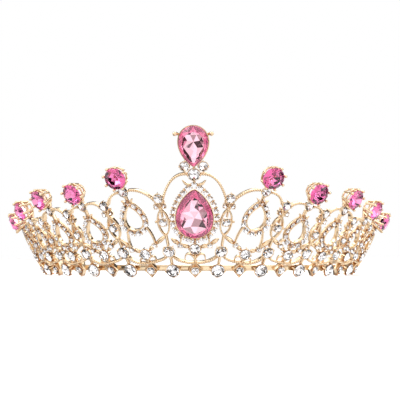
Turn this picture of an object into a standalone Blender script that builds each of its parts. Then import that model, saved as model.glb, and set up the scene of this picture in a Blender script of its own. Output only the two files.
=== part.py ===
"""Princess crown: a tiara of pierced gold-plated metal with pink and clear stones.

The metal is drawn flat, as such a casting is made, in millimetres: X along the band, Y up the
face, W out of it. The flat work is then rolled onto a cone, which gives the tiara its ring and
its flare, and brought to metres. Stones are set into their cups on the rolled work.
"""
import math

import bmesh
import bpy
from mathutils import Matrix, Vector
from mathutils.geometry import interpolate_bezier

MM = 0.001

# The ring and its flare
RING_RADIUS = 74.6
FLARE = math.radians(26.0)
HALF_STEP = math.radians(6.2)
CONE_SLANT = RING_RADIUS / math.sin(FLARE)

# The headband strip and its end loops
STRIP_HEIGHT = 2.2
STRIP_BACK = -1.5
STRIP_FRONT = -0.7
STRIP_END = math.radians(112.5)
STRIP_STEPS = 84
STRIP_RISE = 1.9
RISE_START = math.radians(70.0)
LOOP_RADIUS = 5.0
LOOP_WIRE = 0.95
LOOP_FLATNESS = 0.55
LOOP_POINTS = 16

# Wires of the pierced work, as half widths
ARCH_WIRE = 0.6
FINE_WIRE = 0.52
STEM_WIRE = 0.75
BEAD_FULL = 1.05
BEAD_NECK = 0.62
BEAD_PITCH = 2.3
# Crossing wires lie at slightly different depths, as in hand-laid work
WIRE_LIFT = 0.023
LIFT_LEVELS = 11
# The whole casting is thinned to about this many facets
FRAME_TRIANGLES = 12300
WELD = 0.01

# Settings: what each adds to its stone's radius, and a cup's foot as a share of its rim
CUP_MARGIN = 0.6
CUP_WALL = 0.42
CUP_FOOT = 0.62
CUP_LOW = -1.0
FUNNEL_POINT = 0.35
# How far from a small cup's axis a wire that meets it starts
CUP_REACH = 1.75
SMALL_MARGIN = 0.2
SMALL_TABLE = 0.28
GALLERY_MARGIN = 1.1
GALLERY_FOOT = 0.5
GALLERY_SIDES = 12
GALLERY_DEPTH = 3.8
GALLERY_LOW = -1.6
GALLERY_PRONG = 1.3
PEAR_FOOT = 0.96

# Stones, as diameters
TIP_STONE = 7.8
BASE_STONE = 4.8
UNIT_STONE = 3.9
TREFOIL_CENTRE = 4.2
TREFOIL_SIDE = 3.3
KITE_STONE = 3.6
PAIR_STONE = 4.2
MIDDLE_STONE = 3.0
MAIN_STONE = 3.4
CLEAR_STONE = 3.5
TINY_STONE = 1.9

# How far the girdle of a set stone stands out of the flat work
ROUND_SEAT = 1.35
BASE_SEAT = 1.45
TIP_SEAT = 3.15
CENTRE_PEAR_SEAT = 2.2
TOP_PEAR_SEAT = 2.4

# The centre unit, as heights up the face
CENTRE_KNOT = 2.9
CENTRE_ROUND = 8.6
CENTRE_PEAR = 22.4
CENTRE_PEAR_SIZE = (13.0, 18.0)
TREFOIL_HEIGHT = 36.6
TREFOIL_SPREAD = 3.2
TREFOIL_LIFT = 2.9
TOP_PEAR = 46.9
TOP_PEAR_SIZE = (10.0, 14.0)
PEAR_POINT = 0.7
PEAR_SIDES = 14
HALO_BEADS = 22
CENTRE_KNEE = (5.3, 9.8)
# The claws of the top pear: across, up the face, out
CLAW = [(3.9, 50.1, 0.8), (5.9, 51.5, 2.0), (5.9, 51.5, 3.2)]

# The face of the metal is cut level here, so that its lowest points stand flat
FOOT_LEVEL = -2.95

# Side units: half steps from the centre, lean in degrees, heights up the unit's own axis
UNIT_COLUMNS = ("steps", "lean", "tip", "clear", "loop_top", "loop_bottom", "round")
UNITS = [
    (2, 11.5, 37.0, 31.2, 25.8, 16.1, 6.6),
    (4, 12.5, 32.0, 26.4, 20.4, 11.5, 6.4),
    (6, 12.5, 31.0, 25.3, 19.4, 10.7, 6.0),
    (8, 12.0, 27.4, 21.7, 16.8, 9.6, 5.8),
    (10, 12.0, 23.2, 17.7, 13.6, 8.8, 5.6),
]
# Boundary motifs between the units
BOUND_COLUMNS = ("steps", "lean", "main", "middle", "pair")
BOUNDS = [
    (1, 6.5, 28.1, 19.0, 7.6),
    (3, 12.0, 26.0, 17.2, 7.2),
    (5, 12.5, 23.6, 14.8, 6.8),
    (7, 12.0, 21.4, 12.8, 6.3),
    (9, 10.0, 19.0, 11.2, 5.9),
]
# From the main stone down to the lens of crossing wires, and the lens's half width
ROOT_DROP = 4.6
LENS_HALF = 2.2
# The kites of the base row: radius behind and in front, depth, and the drop point's stretch
KITE_BACK = 2.7
KITE_FRONT = 2.45
KITE_DEPTH = 1.5
KITE_DROP = 1.36
# The teardrop loops of the side units
LOOP_WIDTH = 8.9
LOOP_BEAD_OUT = 1.35
# Where a side unit's arms bend, over its round stone, and where their links meet the loop
KNEE = (4.5, 2.6)
LINK_END = (3.4, 2.2)
# Curved wires: how far their handles pull, across and up, at the start and at the end
BOW_COLUMNS = ("across", "up", "end_across", "end_up")
BOWS = {
    "arch": (5.6, 1.0, -1.2, 6.0),
    "outer_arch": (6.4, 0.8, 5.2, 5.0),
    "centre_arch": (7.6, 1.5, -0.6, 8.0),
    "lower_arc": (4.5, -0.4, -0.8, -2.5),
    "horn": (1.2, 3.0, 0.4, 3.2),
}

GOLD = ("gold_plate", (0.86, 0.60, 0.36, 1.0), 0.22, 1.0)
PINK = ("pink_glass", (0.86, 0.22, 0.42, 1.0), 0.05, 0.0)
CLEAR = ("clear_glass", (0.90, 0.90, 0.92, 1.0), 0.05, 0.0)


def clear_scene():
    for item in list(bpy.data.objects):
        bpy.data.objects.remove(item, do_unlink=True)


def new_collection(name):
    group = bpy.data.collections.new(name)
    bpy.context.scene.collection.children.link(group)
    return group


def material(name, finish):
    """A material of the object's own, from a finish: its name, colour, roughness, metallic."""
    label, colour, roughness, metallic = finish
    made = bpy.data.materials.new(f"{name}_{label}")
    made.use_nodes = True
    shader = made.node_tree.nodes["Principled BSDF"]
    shader.inputs["Base Color"].default_value = colour
    shader.inputs["Roughness"].default_value = roughness
    shader.inputs["Metallic"].default_value = metallic
    return made


class Station:
    """A place on the base line with its own upright axis, leaning outwards."""

    def __init__(self, half_steps, lean=0.0):
        side = (half_steps > 0) - (half_steps < 0)
        along = half_steps * HALF_STEP * math.sin(FLARE)
        self.turn = along + side * math.radians(lean)
        self.base = Vector((CONE_SLANT * math.sin(along), CONE_SLANT * (math.cos(along) - 1), 0))
        self.up = Vector((math.sin(self.turn), math.cos(self.turn), 0))
        self.right = Vector((math.cos(self.turn), -math.sin(self.turn), 0))

    def at(self, x, y, w=0.0):
        return self.base + self.right * x + self.up * y + Vector((0, 0, w))


def cone_angles(flat):
    """The distance from the cone's point and the two angles of a point of the flat work."""
    slant = math.hypot(flat.x, flat.y + CONE_SLANT)
    flat_angle = math.atan2(flat.x, flat.y + CONE_SLANT)
    return slant, flat_angle, flat_angle / math.sin(FLARE)


def rolled(flat):
    """Where a point of the flat work goes when the metal is rolled onto the cone."""
    slant, _, around = cone_angles(flat)
    face = slant - CONE_SLANT
    radius = RING_RADIUS + face * math.sin(FLARE) + flat.z * math.cos(FLARE)
    height = face * math.cos(FLARE) - flat.z * math.sin(FLARE)
    return Vector((radius * math.sin(around), -radius * math.cos(around), height))


def rolled_frame(flat, turn):
    """A stone's matrix on the rolled work: its X and Y lie in the face, its Z points out."""
    _, flat_angle, around = cone_angles(flat)
    tangent = Vector((math.cos(around), math.sin(around), 0))
    slope = Vector((math.sin(FLARE) * math.sin(around), -math.sin(FLARE) * math.cos(around),
                    math.cos(FLARE)))
    lean = turn - flat_angle
    right = tangent * math.cos(lean) - slope * math.sin(lean)
    up = tangent * math.sin(lean) + slope * math.cos(lean)
    matrix = Matrix((right, up, right.cross(up))).transposed().to_4x4()
    matrix.translation = rolled(flat) * MM
    return matrix


def flat_object(name, mesh, group):
    item = bpy.data.objects.new(name, mesh)
    group.objects.link(item)
    item.hide_render = True
    item.display_type = 'WIRE'
    return item


def mesh_from(name, working):
    mesh = bpy.data.meshes.new(name)
    working.to_mesh(mesh)
    working.free()
    return mesh


def pear_outline(angle, width, length):
    """A pear's edge. Angle 0 is its point, at +Y, and pi its round end."""
    widest = 0.821
    x = width / 2 / widest * math.sin(angle) * abs(math.sin(angle / 2)) ** PEAR_POINT
    return x, length / 2 * math.cos(angle)


def to_pear(verts, radius, width, length, point_up):
    """Moves the rings of a round primitive onto pears of the same proportions."""
    for vert in verts:
        share = math.hypot(vert.co.x, vert.co.y) / radius
        angle = math.atan2(vert.co.x, vert.co.y)
        x, y = pear_outline(angle % math.tau, width, length)
        flip = 1 if point_up else -1
        vert.co.x, vert.co.y = x * share * flip, y * share * flip


def set_on(verts, station, x, y):
    """Turns vertices with the station's axis and sets them at its local place."""
    place = station.at(x, y)
    for vert in verts:
        vert.co = place + station.right * vert.co.x + station.up * vert.co.y \
            + Vector((0, 0, vert.co.z))


def cup_mesh(radius, sides, depth, low, foot=CUP_FOOT, prong=0.0, pear=None):
    """A cup with a funnel for the stone. With prong, every second rim point stands up."""
    working = bmesh.new()
    bmesh.ops.create_cone(working, cap_ends=True, segments=sides, radius1=radius * foot,
                          radius2=radius, depth=depth,
                          matrix=Matrix.Translation((0, 0, low + depth / 2)))
    working.faces.ensure_lookup_table()
    rim = max(working.faces, key=lambda face: face.calc_center_median().z)
    bmesh.ops.inset_region(working, faces=[rim], thickness=CUP_WALL, use_even_offset=True)
    poked = bmesh.ops.poke(working, faces=[rim])
    poked["verts"][0].co.z = low + FUNNEL_POINT
    top = low + depth
    for vert in working.verts:
        step = round(math.atan2(vert.co.x, vert.co.y) / math.tau * sides)
        if prong and abs(vert.co.z - top) < 0.01 and step % 2 == 0:
            vert.co.z += prong
    if pear:
        to_pear(working.verts, radius, *pear)
    return working


def stone_mesh(radius, sides, girdle, crown, pavilion, table=0.56):
    """A cut stone: table, crown facets, girdle and a pavilion that runs to a point."""
    working = bmesh.new()
    bmesh.ops.create_cone(working, cap_ends=True, segments=sides, radius1=radius,
                          radius2=radius, depth=girdle)
    working.faces.ensure_lookup_table()
    ordered = sorted(working.faces, key=lambda face: face.calc_center_median().z)
    under, over = ordered[0], ordered[-1]
    poked = bmesh.ops.poke(working, faces=[under])
    poked["verts"][0].co.z -= pavilion
    grown = bmesh.ops.extrude_face_region(working, geom=[over])
    bmesh.ops.delete(working, geom=[over], context='FACES')
    top = [part for part in grown["geom"] if isinstance(part, bmesh.types.BMVert)]
    turn = Matrix.Rotation(math.pi / sides, 3, 'Z')
    for vert in top:
        vert.co = turn @ vert.co
        vert.co.x *= table
        vert.co.y *= table
        vert.co.z += crown
    return working


class Casting:
    """Collects the flat pieces of metal that are soldered into the one frame."""

    def __init__(self, group):
        self.group = group
        self.count = 0

    def add(self, working, label):
        self.count += 1
        name = f"{label}_{self.count}"
        return flat_object(name, mesh_from(name, working), self.group)

    def wire(self, points, half_width, label, closed=False, radii=None, flatness=1.0):
        """A wire along points of the flat work, as a bevelled curve turned into a mesh."""
        curve = bpy.data.curves.new(label, 'CURVE')
        curve.dimensions = '3D'
        curve.twist_mode = 'Z_UP'
        curve.bevel_depth = half_width
        curve.bevel_resolution = 0
        curve.use_fill_caps = True
        spline = curve.splines.new('POLY')
        spline.points.add(len(points) - 1)
        lift = WIRE_LIFT * (self.count % LIFT_LEVELS)
        for index, point in enumerate(points):
            spline.points[index].co = (point.x, point.y, (point.z + lift) / flatness, 1)
            spline.points[index].radius = radii[index] if radii else 1.0
        spline.use_cyclic_u = closed
        item = bpy.data.objects.new(label, curve)
        self.group.objects.link(item)
        reading = item.evaluated_get(bpy.context.evaluated_depsgraph_get())
        mesh = bpy.data.meshes.new_from_object(reading)
        bpy.data.objects.remove(item, do_unlink=True)
        working = bmesh.new()
        working.from_mesh(mesh)
        bpy.data.meshes.remove(mesh)
        bmesh.ops.remove_doubles(working, verts=working.verts, dist=0.001)
        for vert in working.verts:
            vert.co.z *= flatness
        bmesh.ops.recalc_face_normals(working, faces=working.faces)
        return self.add(working, label)

    def bow(self, label, start, right, up, end, end_up, half_width, steps=5, radii=None):
        """A wire on one curve between two points, with the handles that BOWS gives its label."""
        pull = dict(zip(BOW_COLUMNS, BOWS[label]))
        first = start + right * pull["across"] + up * pull["up"]
        last = end + right * pull["end_across"] + end_up * pull["end_up"]
        points = interpolate_bezier(start, first, last, end, steps + 1)
        return self.wire(points, half_width, label, radii=radii)

    def cup(self, station, x, y, stone, label, sides=8, depth=1.9):
        working = cup_mesh(stone / 2 + CUP_MARGIN, sides, depth, CUP_LOW)
        set_on(working.verts, station, x, y)
        return self.add(working, label)

    def small_stone(self, station, x, y, stone, label, sides=8, low=-0.75, high=1.5):
        """A small stone in one with its setting: a table and a ring of facets."""
        working = bmesh.new()
        bmesh.ops.create_cone(working, cap_ends=True, segments=sides,
                              radius1=stone / 2 + SMALL_MARGIN, radius2=stone * SMALL_TABLE,
                              depth=high - low,
                              matrix=Matrix.Translation((0, 0, (high + low) / 2)))
        set_on(working.verts, station, x, y)
        return self.add(working, label)


def add_strip(casting):
    """The headband: a flat strip on the base line, rising a little along its bare ends."""
    working = bmesh.new()
    bmesh.ops.create_grid(working, x_segments=STRIP_STEPS, y_segments=1, size=1.0)
    grown = bmesh.ops.extrude_face_region(working, geom=list(working.faces))
    for part in grown["geom"]:
        if isinstance(part, bmesh.types.BMVert):
            part.co.z = 1.0
    for vert in working.verts:
        around = vert.co.x * STRIP_END
        angle = around * math.sin(FLARE)
        slant = CONE_SLANT + vert.co.y * STRIP_HEIGHT / 2 + strip_rise(around)
        depth = STRIP_FRONT if vert.co.z > 0.5 else STRIP_BACK
        vert.co = Vector((slant * math.sin(angle), slant * math.cos(angle) - CONE_SLANT, depth))
    bmesh.ops.recalc_face_normals(working, faces=working.faces)
    return casting.add(working, "strip")


def strip_rise(around):
    share = (abs(around) - RISE_START) / (STRIP_END - RISE_START)
    share = min(max(share, 0.0), 1.0)
    return STRIP_RISE * share * share * (3 - 2 * share)


def add_end_loop(casting, side):
    """A ring of flat wire on the end of the strip."""
    reach = (STRIP_HEIGHT / 2 + LOOP_RADIUS) / (RING_RADIUS + STRIP_RISE)
    angle = side * (STRIP_END + reach * 0.78) * math.sin(FLARE)
    slant = CONE_SLANT + STRIP_RISE
    middle = Vector((slant * math.sin(angle), slant * math.cos(angle) - CONE_SLANT, 0))
    depth = (STRIP_BACK + STRIP_FRONT) / 2 + 0.03
    points = []
    for index in range(LOOP_POINTS):
        turn = math.tau * index / LOOP_POINTS
        points.append(middle + Vector((math.sin(turn) * LOOP_RADIUS,
                                       math.cos(turn) * LOOP_RADIUS, depth)))
    casting.wire(points, LOOP_WIRE, "end_loop", closed=True, flatness=LOOP_FLATNESS)


def add_kite(casting, station):
    """A base setting in the form of a kite, with a drop point, and its stone."""
    working = bmesh.new()
    bmesh.ops.create_cone(working, cap_ends=True, segments=4, radius1=KITE_BACK,
                          radius2=KITE_FRONT, depth=KITE_DEPTH,
                          matrix=Matrix.Translation((0, 0, -0.15)))
    for vert in working.verts:
        if vert.co.y < -1:
            vert.co.y *= KITE_DROP
    set_on(working.verts, station, 0, 0)
    casting.add(working, "kite")
    casting.small_stone(station, 0, 0, KITE_STONE, "kite_stone", low=-0.3, high=1.6)


def beaded(casting, station, width, length, y, label, beads):
    """A teardrop of small stones: a wire that swells at each stone."""
    points, radii = [], []
    steps = beads * 2
    for index in range(steps):
        x, up = pear_outline(evened(index / steps, width, length), width, length)
        points.append(station.at(x, y + up, 0.1))
        radii.append(1.0 if index % 2 == 0 else BEAD_NECK / BEAD_FULL)
    casting.wire(points, BEAD_FULL, label, closed=True, radii=radii)


def evened(share, width, length):
    """The pear angle at a share of the way round, measured along the edge."""
    fine = 120
    edge = [Vector(pear_outline(math.tau * i / fine, width, length)) for i in range(fine + 1)]
    runs = [0.0]
    for first, second in zip(edge, edge[1:]):
        runs.append(runs[-1] + (second - first).length)
    want = share * runs[-1]
    for index in range(fine):
        if runs[index + 1] >= want:
            part = (want - runs[index]) / (runs[index + 1] - runs[index])
            return math.tau * (index + part) / fine
    return math.tau


def cup_edge(station, y, toward):
    """Where a wire that heads for a point leaves the wall of a small cup on the axis."""
    centre = station.at(0, y)
    return centre + (toward - centre).normalized() * CUP_REACH


def add_side_unit(casting, unit, inner, outer):
    """A side unit. Inner and outer are the boundary motifs that it shares its wires with."""
    station = unit["station"]
    up = station.up
    side = 1 if station.base.x > 0 else -1
    gallery = cup_mesh(TIP_STONE / 2 + GALLERY_MARGIN, GALLERY_SIDES, GALLERY_DEPTH,
                       GALLERY_LOW, foot=GALLERY_FOOT, prong=GALLERY_PRONG)
    set_on(gallery.verts, station, 0, unit["tip"])
    casting.add(gallery, "gallery")
    casting.wire([station.at(0, unit["clear"] + 0.5, -0.4),
                  station.at(0, unit["tip"] - 1.6, -1.7)], 0.8, "gallery_stem")
    casting.small_stone(station, 0, unit["clear"], CLEAR_STONE, "clear", low=-0.8, high=1.5)

    opening = unit["loop_top"] - unit["loop_bottom"]
    length = opening + 2 * LOOP_BEAD_OUT
    middle = (unit["loop_top"] + unit["loop_bottom"]) / 2
    beads = 2 * round((LOOP_WIDTH + length) * 1.28 / BEAD_PITCH / 2)
    beaded(casting, station, LOOP_WIDTH, length, middle, "loop", beads)
    casting.wire([station.at(0, middle + length / 2 - 0.4), station.at(0, unit["clear"])],
                 STEM_WIRE, "neck")

    casting.cup(station, 0, unit["round"], UNIT_STONE, "round_cup")
    casting.wire([station.at(0, 1.0), station.at(0, unit["round"] - CUP_REACH)],
                 STEM_WIRE, "stem")
    foot = middle - length / 2
    if foot - unit["round"] < 4.5:
        casting.wire([station.at(0, unit["round"] + CUP_REACH), station.at(0, foot)],
                     STEM_WIRE, "bridge")

    for hand, bound in ((-side, inner), (side, outer)):
        right = station.right * hand
        knee = station.at(hand * KNEE[0], unit["round"] + KNEE[1])
        if bound:
            end = bound["station"].at(0, bound["root"], -0.1)
            casting.bow("arch", station.at(0, unit["clear"], 0.1), right, up, end,
                        bound["station"].up, ARCH_WIRE)
            cross = bound["station"].at(0, bound["cross"])
            casting.wire([cup_edge(station, unit["round"], knee), knee, cross],
                         FINE_WIRE, "arm")
            casting.bow("lower_arc", station.at(0, CENTRE_KNOT, -0.15), right, up,
                        bound["station"].at(0, bound["pair"]), up, FINE_WIRE, steps=4)
        else:
            casting.bow("outer_arch", station.at(0, unit["clear"], 0.1), right, up,
                        station.at(hand * 2.6, 0.2, -0.3), up, ARCH_WIRE)
            casting.wire([cup_edge(station, unit["round"], knee), knee], FINE_WIRE, "arm")
        casting.wire([knee, station.at(hand * LINK_END[0], foot + LINK_END[1], 0.05)],
                     FINE_WIRE, "link")
        casting.small_stone(station, hand * KNEE[0], unit["round"] + KNEE[1], TINY_STONE,
                            "arm_stone", sides=6, low=-0.6, high=1.1)


def add_bound(casting, bound):
    """A boundary motif: trefoil, crossing wires round the middle stone, pair stone, base cup."""
    station = bound["station"]
    casting.small_stone(station, 0, bound["main"], MAIN_STONE, "main", low=-0.8, high=1.6)
    for hand in (-1, 1):
        casting.small_stone(station, hand * 1.35, bound["main"] - 3.0, TINY_STONE,
                            "trefoil_bead", sides=6, low=-0.65, high=1.0)
    lens = [station.at(0, bound["root"] + 0.2), station.at(LENS_HALF, bound["middle"] + 0.3),
            station.at(0, bound["cross"]), station.at(-LENS_HALF, bound["middle"] + 0.3)]
    casting.wire(lens, FINE_WIRE, "lens", closed=True)
    casting.wire([station.at(0, bound["main"]), station.at(0, bound["middle"])],
                 FINE_WIRE, "spine")
    casting.small_stone(station, 0, bound["middle"], MIDDLE_STONE, "middle")
    casting.wire([station.at(0, bound["cross"]), station.at(0, bound["pair"])],
                 STEM_WIRE, "spine_low")
    casting.small_stone(station, 0, bound["pair"], PAIR_STONE, "pair", high=1.7)
    casting.wire([station.at(0, 2.3), station.at(0, bound["pair"])], STEM_WIRE, "foot")
    casting.cup(station, 0, 0, BASE_STONE, "base_cup", depth=2.0)


def add_centre(casting, station, bounds):
    """The centre unit, with the two boundary motifs next to it."""
    up = station.up
    width, length = CENTRE_PEAR_SIZE
    setting = cup_mesh(width / 2 + 1.0, PEAR_SIDES, 2.7, CUP_LOW, foot=PEAR_FOOT,
                       pear=(width + 2.0, length + 2.0, True))
    set_on(setting.verts, station, 0, CENTRE_PEAR)
    casting.add(setting, "pear_cup")
    beaded(casting, station, width + 3.2, length + 3.6, CENTRE_PEAR, "halo",
           HALO_BEADS)

    width, length = TOP_PEAR_SIZE
    setting = cup_mesh(width / 2 + 0.7, PEAR_SIDES, 2.9, CUP_LOW, foot=PEAR_FOOT,
                       pear=(width + 1.4, length + 1.4, False))
    set_on(setting.verts, station, 0, TOP_PEAR)
    casting.add(setting, "top_pear_cup")
    for hand in (-1, 1):
        casting.wire([station.at(hand * x, y, out) for x, y, out in CLAW], 0.7, "claw",
                     radii=[1.0, 1.0, 0.8])
        casting.cup(station, hand * TREFOIL_SPREAD, TREFOIL_HEIGHT + TREFOIL_LIFT,
                    TREFOIL_SIDE, "trefoil_cup")
    casting.cup(station, 0, TREFOIL_HEIGHT, TREFOIL_CENTRE, "trefoil_cup")
    casting.wire([station.at(0, CENTRE_PEAR + 9.5, -1.1), station.at(0, TOP_PEAR - 2.0, -1.1)],
                 STEM_WIRE, "top_stem")
    casting.cup(station, 0, CENTRE_ROUND, UNIT_STONE, "round_cup")
    casting.wire([station.at(0, 1.0), station.at(0, CENTRE_ROUND - CUP_REACH)],
                 STEM_WIRE, "stem")
    casting.wire([station.at(0, CENTRE_ROUND + CUP_REACH), station.at(0, CENTRE_PEAR - 10.0)],
                 STEM_WIRE, "bridge")

    for hand in (-1, 1):
        right = station.right * hand
        bound = bounds[hand]
        root = bound["station"].at(0, bound["root"], -0.1)
        casting.bow("centre_arch", station.at(hand * 1.9, TREFOIL_HEIGHT, 0.1), right, up, root,
                    bound["station"].up, ARCH_WIRE, steps=6)
        knee = station.at(hand * CENTRE_KNEE[0], CENTRE_KNEE[1])
        casting.wire([cup_edge(station, CENTRE_ROUND, knee), knee,
                      station.at(hand * 8.4, CENTRE_ROUND + 3.3)], FINE_WIRE, "arm",
                     radii=[1.0, 1.2, 0.25])
        casting.wire([knee, station.at(hand * 4.7, CENTRE_PEAR - 8.4, 0.05)],
                     FINE_WIRE, "link")
        casting.small_stone(station, hand * CENTRE_KNEE[0], CENTRE_KNEE[1], TINY_STONE,
                            "arm_stone", sides=6, low=-0.6, high=1.1)
        casting.bow("lower_arc", station.at(0, CENTRE_KNOT, -0.15), right, up,
                    bound["station"].at(0, bound["pair"]), up, FINE_WIRE, steps=4)
        casting.bow("horn", station.at(0, 4.2, 0.1), right, up,
                    station.at(hand * 3.6, 4.0, 0.1), up, FINE_WIRE, steps=4,
                    radii=[1.0, 1.0, 0.95, 0.8, 0.4])
        casting.small_stone(station, hand * 1.6, CENTRE_PEAR + 12.2, TINY_STONE * 0.7, "ear",
                            sides=4, low=-0.5, high=0.6)
        halo_side = station.at(hand * 7.8, CENTRE_PEAR - 3.4)
        casting.wire([halo_side, bound["station"].at(-hand * LENS_HALF, bound["middle"] + 0.3)],
                     FINE_WIRE, "halo_link")


def without_twins(working):
    """Triangulates, and drops pairs of slivers that lie face to face on the same corners."""
    bmesh.ops.remove_doubles(working, verts=working.verts, dist=WELD)
    bmesh.ops.triangulate(working, faces=working.faces)
    working.verts.index_update()
    seen = {}
    twins = []
    for face in working.faces:
        corners = frozenset(vert.index for vert in face.verts)
        if corners in seen:
            twins += [face, seen.pop(corners)]
        else:
            seen[corners] = face
    bmesh.ops.delete(working, geom=twins, context='FACES')
    loose = [vert for vert in working.verts if not vert.link_faces]
    bmesh.ops.delete(working, geom=loose, context='VERTS')


def evaluated(item):
    reading = item.evaluated_get(bpy.context.evaluated_depsgraph_get())
    working = bmesh.new()
    working.from_mesh(bpy.data.meshes.new_from_object(reading))
    return working


def united(pieces, group):
    """One flat mesh of all the pieces, by a union."""
    base = pieces[0]
    group.objects.unlink(base)
    bpy.context.scene.collection.objects.link(base)
    union = base.modifiers.new("solder", 'BOOLEAN')
    union.operation = 'UNION'
    union.solver = 'EXACT'
    union.operand_type = 'COLLECTION'
    union.collection = group
    working = evaluated(base)
    without_twins(working)
    for piece in pieces:
        bpy.data.objects.remove(piece, do_unlink=True)
    return working


def thinned(working):
    """The rolled work with only the facets that its shape needs."""
    whole = flat_object("whole", mesh_from("whole", working), bpy.context.scene.collection)
    thin = whole.modifiers.new("thin", 'DECIMATE')
    thin.ratio = FRAME_TRIANGLES / len(whole.data.polygons)
    thin.use_collapse_triangulate = True
    working = evaluated(whole)
    bpy.data.objects.remove(whole, do_unlink=True)
    return working


def soldered(casting, group):
    """Unites the flat pieces, rolls the work onto the cone and cuts its feet level."""
    working = united(list(casting.group.objects), casting.group)
    for vert in working.verts:
        vert.co = rolled(vert.co)
    working = thinned(working)
    everything = list(working.verts) + list(working.edges) + list(working.faces)
    bmesh.ops.bisect_plane(working, geom=everything, dist=WELD, plane_co=(0, 0, FOOT_LEVEL),
                           plane_no=(0, 0, -1), clear_outer=True)
    rims = [edge for edge in working.edges if edge.is_boundary]
    bmesh.ops.holes_fill(working, edges=rims, sides=0)
    bmesh.ops.triangulate(working, faces=working.faces)
    bmesh.ops.recalc_face_normals(working, faces=working.faces)
    bmesh.ops.scale(working, verts=working.verts, vec=(MM, MM, MM))
    frame = bpy.data.objects.new("frame", mesh_from("frame", working))
    frame.data.materials.append(material("frame", GOLD))
    group.objects.link(frame)
    return frame


def set_stone(name, station, x, y, w, working, finish, group):
    item = bpy.data.objects.new(name, mesh_from(name, working))
    item.data.transform(Matrix.Scale(MM, 4))
    item.matrix_world = rolled_frame(station.at(x, y, w), station.turn)
    item.data.materials.append(material(name, finish))
    group.objects.link(item)
    return item


def round_stone(name, station, x, y, size, finish, group, seat=ROUND_SEAT):
    radius = size / 2
    working = stone_mesh(radius, 8, 0.2, radius * 0.34, radius * 0.62)
    return set_stone(name, station, x, y, seat, working, finish, group)


def pear_stone(name, station, y, size, point_up, seat, finish, group):
    width, length = size
    radius = width / 2
    working = stone_mesh(radius, PEAR_SIDES, 0.3, 1.4, 2.3, table=0.6)
    to_pear(working.verts, radius, width, length, point_up)
    return set_stone(name, station, 0, y, seat, working, finish, group)


def side_name(label, side, index):
    return f"{label}_{'left' if side < 0 else 'right'}_{index}"


def stand_at_origin(group):
    """Moves the whole crown so that the origin is at the middle of its box's underside."""
    bpy.context.view_layer.update()
    corners = [item.matrix_world @ vert.co for item in group.objects for vert in item.data.vertices]
    low = [min(corner[axis] for corner in corners) for axis in range(3)]
    high = [max(corner[axis] for corner in corners) for axis in range(3)]
    shift = Vector((-(low[0] + high[0]) / 2, -(low[1] + high[1]) / 2, -low[2]))
    for item in group.objects:
        item.matrix_world = Matrix.Translation(shift) @ item.matrix_world


def main():
    clear_scene()
    crown = new_collection("princess_crown")
    work = new_collection("flat_work")
    casting = Casting(work)
    add_strip(casting)

    centre = Station(0)
    add_kite(casting, centre)
    near_bounds = {}
    for side in (-1, 1):
        bounds = []
        for row in BOUNDS:
            bound = dict(zip(BOUND_COLUMNS, row))
            bound["station"] = Station(side * bound["steps"], bound["lean"])
            bound["root"] = bound["main"] - ROOT_DROP
            bound["cross"] = (bound["middle"] + bound["pair"]) / 2 + 0.4
            bounds.append(bound)
            add_bound(casting, bound)
        near_bounds[side] = bounds[0]
        for index, row in enumerate(UNITS):
            unit = dict(zip(UNIT_COLUMNS, row))
            unit["station"] = Station(side * unit["steps"], unit["lean"])
            outer = bounds[index + 1] if index + 1 < len(bounds) else None
            add_kite(casting, Station(side * unit["steps"]))
            add_side_unit(casting, unit, bounds[index], outer)
            round_stone(side_name("tip_round", side, index + 1), unit["station"], 0,
                        unit["tip"], TIP_STONE, PINK, crown, seat=TIP_SEAT)
            round_stone(side_name("unit_round", side, index + 1), unit["station"], 0,
                        unit["round"], UNIT_STONE, CLEAR, crown)
            round_stone(side_name("base_round", side, index + 1), bounds[index]["station"], 0,
                        0, BASE_STONE, CLEAR, crown, seat=BASE_SEAT)
        add_end_loop(casting, side)
    add_centre(casting, centre, near_bounds)
    soldered(casting, crown)

    round_stone("unit_round_centre", centre, 0, CENTRE_ROUND, UNIT_STONE, CLEAR, crown)
    round_stone("trefoil_round_centre", centre, 0, TREFOIL_HEIGHT, TREFOIL_CENTRE, CLEAR, crown)
    for side in (-1, 1):
        round_stone(side_name("trefoil_round", side, 1), centre, side * TREFOIL_SPREAD,
                    TREFOIL_HEIGHT + TREFOIL_LIFT, TREFOIL_SIDE, CLEAR, crown)
    pear_stone("centre_pear", centre, CENTRE_PEAR, CENTRE_PEAR_SIZE, True, CENTRE_PEAR_SEAT,
               PINK, crown)
    pear_stone("top_pear", centre, TOP_PEAR, TOP_PEAR_SIZE, False, TOP_PEAR_SEAT, PINK, crown)
    bpy.data.collections.remove(work)
    stand_at_origin(crown)


main()
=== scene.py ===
# %% [markdown]
# # Princess crown: the finish
# A costume tiara like this one is cast flat in a white-metal alloy, bent round to a ring, plated
# in rose gold, and set with foil-backed glass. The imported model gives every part's place. Here
# the plain casting is replaced by its real wires, claws and milgrain edges, and each stone by
# one with its true facets.

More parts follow.
